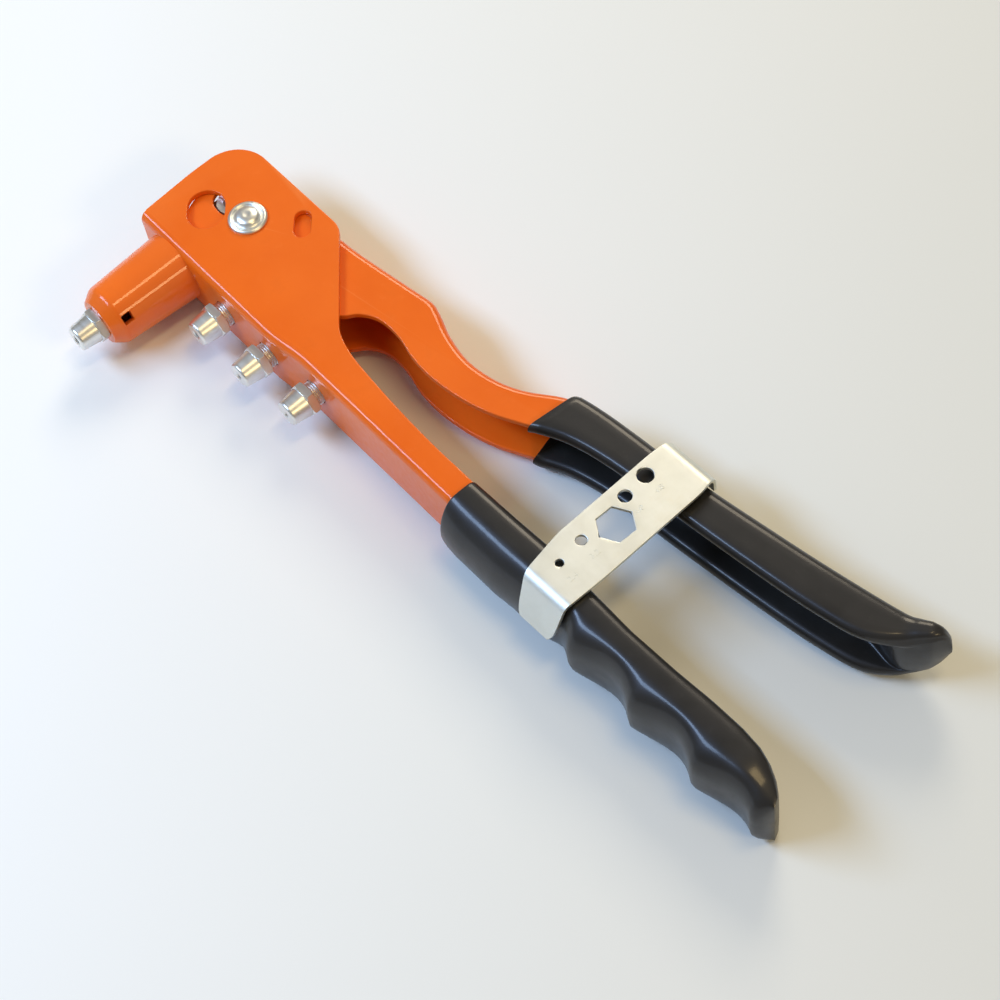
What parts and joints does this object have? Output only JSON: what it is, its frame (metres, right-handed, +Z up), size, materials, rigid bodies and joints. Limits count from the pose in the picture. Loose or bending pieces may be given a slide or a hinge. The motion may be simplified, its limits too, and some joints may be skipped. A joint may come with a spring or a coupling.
{
  "type": "hand riveter",
  "caption": "Hand riveter: orange pressed-steel channels, black vinyl grips, round barrel with a steel nosepiece, rack of spares and a clip that is also the spanner.",
  "frame": {"origin": "centre of the closed tool's plan, on the flat surface that it lies on", "axes": "+Y along the handles towards the head, -X the way the nosepiece points, +Z up through the thickness of the tool"},
  "size_m": [0.1086, 0.2706, 0.0283],
  "materials": {
    "orange_paint": "gloss orange enamel",
    "black_vinyl": "satin dipped vinyl",
    "zinc": "bright zinc plate",
    "bright_steel": "turned and polished",
    "dark_steel": "hardened and oiled"
  },
  "bodies": {
    "body": {"body_frame": "orange_paint", "body_grip": "black_vinyl", "barrel": "orange_paint", "barrel_nut": "bright_steel", "spring_seat": "bright_steel", "fitted_nosepiece": "zinc", "spare_nosepiece_small": "zinc", "spare_nosepiece_medium": "zinc", "spare_nosepiece_large": "zinc", "pivot_rivet": "bright_steel"},
    "lever": {"lever_frame": "orange_paint", "lever_grip": "black_vinyl", "pivot_sleeve": "bright_steel"},
    "jaw_carriage": {"jaw_case": "dark_steel", "case_locknut": "bright_steel", "pulling_head": "bright_steel", "trunnion_pins": "dark_steel", "trunnion_bushes": "bright_steel", "return_spring": "dark_steel", "jaw_spring": "bright_steel"},
    "pusher": {"jaw_pusher": "dark_steel"},
    "first_jaw": {"jaw_1": "dark_steel"},
    "second_jaw": {"jaw_2": "dark_steel"},
    "third_jaw": {"jaw_3": "dark_steel"},
    "clip": {"clip_key": "zinc"}
  },
  "joints": [
    {"name": "lever_pivot", "type": "hinge", "parent": "body", "child": "lever", "pos_m": [0.0064, 0.10885, 0.0132], "axis": [0, 0, 1], "range_deg": [0, 32]},
    {"name": "jaw_case_slide", "type": "slide", "parent": "body", "child": "jaw_carriage", "axis": [1, 0, 0], "range_m": [-0.0062, 0], "deforming": ["return_spring"]},
    {"name": "jaw_pusher_slide", "type": "slide", "parent": "jaw_carriage", "child": "pusher", "axis": [1, 0, 0], "range_m": [0, 0.0018], "stiffness_N_per_m": 1500, "springref_m": -0.004, "deforming": ["jaw_spring"]},
    {"name": "first_jaw_slide", "type": "slide", "parent": "jaw_carriage", "child": "first_jaw", "axis": [0.9848, 0, 0.1736], "range_m": [0, 0.00184]},
    {"name": "second_jaw_slide", "type": "slide", "parent": "jaw_carriage", "child": "second_jaw", "axis": [0.9848, -0.1504, -0.0868], "range_m": [0, 0.00184]},
    {"name": "third_jaw_slide", "type": "slide", "parent": "jaw_carriage", "child": "third_jaw", "axis": [0.9848, 0.1504, -0.0868], "range_m": [0, 0.00184]},
    {"name": "clip_lift", "type": "slide", "parent": "body", "child": "clip", "axis": [0, 0, 1], "range_m": [0, 0.075]}
  ],
  "couplings": [
    {"joint": "jaw_case_slide", "follows": "lever_pivot", "m_per_rad": -0.01096},
    {"joint": "clip_lift", "follows": "lever_pivot", "m_per_rad": 0.13},
    {"joint": "first_jaw_slide", "follows": "jaw_pusher_slide", "ratio": 1.0154},
    {"joint": "second_jaw_slide", "follows": "jaw_pusher_slide", "ratio": 1.0154},
    {"joint": "third_jaw_slide", "follows": "jaw_pusher_slide", "ratio": 1.0154}
  ]
}
